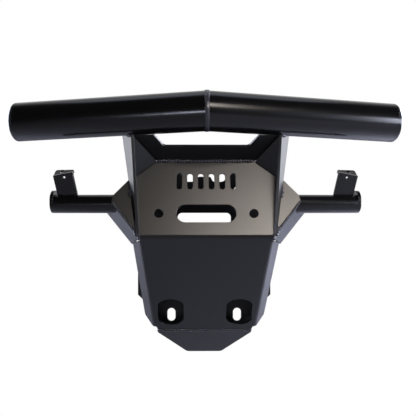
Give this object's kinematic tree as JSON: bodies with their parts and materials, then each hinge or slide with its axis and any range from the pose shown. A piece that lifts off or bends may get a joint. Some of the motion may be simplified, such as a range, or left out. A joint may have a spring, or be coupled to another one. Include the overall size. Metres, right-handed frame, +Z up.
{
  "type": "front bumper",
  "caption": "Welded steel front bumper: a swept tube over a folded winch face and sloping skid, with side stubs, light tabs and a frame plate behind.",
  "frame": {"origin": "midway between the two lower frame slots, on the rear face of the frame plate", "axes": "+Z up, -Y towards the front, +X across the bumper"},
  "size_m": [0.6386, 0.2929, 0.447],
  "materials": {
    "plate_coat": "satin black powder coat",
    "tube_coat": "satin black powder coat",
    "weld_coat": "satin black powder coat over a weld bead"
  },
  "bodies": {
    "root": {"main_tube_left": "tube_coat", "main_tube_right": "tube_coat", "tube_cap_left": "tube_coat", "tube_cap_right": "tube_coat", "tube_mitre_weld": "weld_coat", "nose_sheet": "plate_coat", "upper_plate": "plate_coat", "corner_gusset_left": "plate_coat", "corner_gusset_right": "plate_coat", "upright_left": "plate_coat", "upright_right": "plate_coat", "arm_left": "plate_coat", "arm_right": "plate_coat", "stub_left": "tube_coat", "stub_right": "tube_coat", "stub_cap_left": "tube_coat", "stub_cap_right": "tube_coat", "light_tab_left": "tube_coat", "light_tab_right": "tube_coat", "frame_plate": "plate_coat", "winch_tray": "plate_coat", "side_rib_left": "plate_coat", "side_rib_right": "plate_coat", "toe_plate": "plate_coat", "upper_weld": "weld_coat", "toe_weld": "weld_coat", "ear_welds_left": "weld_coat", "ear_welds_right": "weld_coat"}
  },
  "joints": []
}
